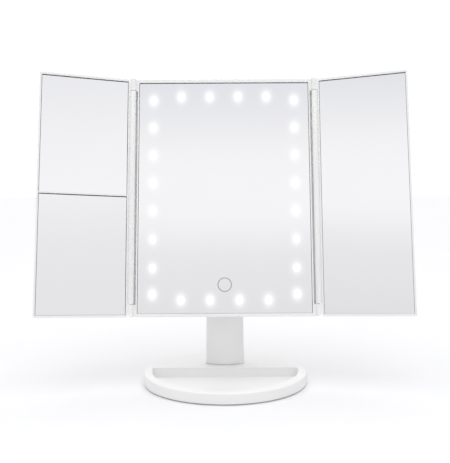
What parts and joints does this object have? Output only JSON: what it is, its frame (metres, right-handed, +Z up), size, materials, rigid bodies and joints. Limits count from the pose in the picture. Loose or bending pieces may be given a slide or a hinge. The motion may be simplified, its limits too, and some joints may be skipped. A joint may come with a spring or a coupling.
{
  "type": "lighted vanity mirror",
  "caption": "Lighted trifold vanity mirror: tilting centre mirror between two folding wings, touch switch, on a weighted oval base with a tray.",
  "frame": {"origin": "centre of the base's footprint on the surface it stands on", "axes": "+X to the user's right, +Y away from the user, +Z up; the mirror faces -Y"},
  "size_m": [0.3298, 0.125, 0.2801],
  "materials": {
    "white_abs": "satin-gloss white ABS",
    "grey_abs": "satin grey ABS",
    "mirror": "polished mirror",
    "steel": "zinc-plated steel",
    "rubber": "matt rubber",
    "board_white": "white solder mask",
    "board_green": "green solder mask",
    "cell_wrap": "shrink sleeve",
    "red_wire": "PVC sheath",
    "black_wire": "PVC sheath"
  },
  "bodies": {
    "stand": {"base_bottom_cover": "white_abs", "base_screw_1": "steel", "base_screw_2": "steel", "base_screw_3": "steel", "base_shell": "white_abs", "base_weight": "steel", "foot_pad_1": "rubber", "foot_pad_2": "rubber", "foot_pad_3": "rubber", "foot_pad_4": "rubber", "friction_washer_left": "rubber", "friction_washer_right": "rubber", "pivot_knuckle": "grey_abs", "stem_foot_screw_left": "steel", "stem_foot_screw_right": "steel", "stem_front_shell": "white_abs", "stem_rear_shell": "white_abs", "stem_screw_lower": "steel", "stem_screw_upper": "steel"},
    "head": {"battery_cell_1": "cell_wrap", "battery_cell_2": "cell_wrap", "battery_cell_3": "cell_wrap", "battery_cell_4": "cell_wrap", "battery_contact_left_lower": "steel", "battery_contact_left_upper": "steel", "battery_contact_right_lower": "steel", "battery_contact_right_middle": "steel", "battery_contact_right_upper": "steel", "battery_lead_negative": "black_wire", "battery_lead_positive": "red_wire", "battery_spring_1": "steel", "battery_spring_2": "steel", "battery_spring_3": "steel", "battery_spring_4": "steel", "centre_mirror_glass": "mirror", "control_board": "board_green", "front_frame": "white_abs", "led_board": "board_white", "led_lead": "red_wire", "left_hinge_pin_bottom": "steel", "left_hinge_pin_top": "steel", "pivot_bolt": "steel", "pivot_nut": "steel", "rear_cover": "white_abs", "rear_cover_screw_1": "steel", "rear_cover_screw_2": "steel", "rear_cover_screw_3": "steel", "rear_cover_screw_4": "steel", "right_hinge_pin_bottom": "steel", "right_hinge_pin_top": "steel", "touch_spring": "steel", "usb_socket": "steel"},
    "left_wing": {"left_wing_frame": "white_abs", "left_wing_lower_mirror": "mirror", "left_wing_upper_mirror": "mirror"},
    "right_wing": {"right_wing_frame": "white_abs", "right_wing_mirror": "mirror"},
    "battery_door": {"battery_door": "white_abs"}
  },
  "joints": [
    {"name": "head_tilt", "type": "hinge", "parent": "stand", "child": "head", "pos_m": [0, 0.0265, 0.1105], "axis": [-1, 0, 0], "range_deg": [-14.5, 78]},
    {"name": "left_wing_hinge", "type": "hinge", "parent": "head", "child": "left_wing", "pos_m": [-0.0835, 0.01082, 0.16889], "axis": [0, 0.2028, 0.9792], "range_deg": [-16, 164]},
    {"name": "right_wing_hinge", "type": "hinge", "parent": "head", "child": "right_wing", "pos_m": [0.0835, 0.01082, 0.16889], "axis": [0, -0.2028, -0.9792], "range_deg": [-16, 164]},
    {"name": "battery_door_slide", "type": "slide", "parent": "head", "child": "battery_door", "axis": [0, 0.2028, 0.9792], "range_m": [0, 0.066]}
  ]
}
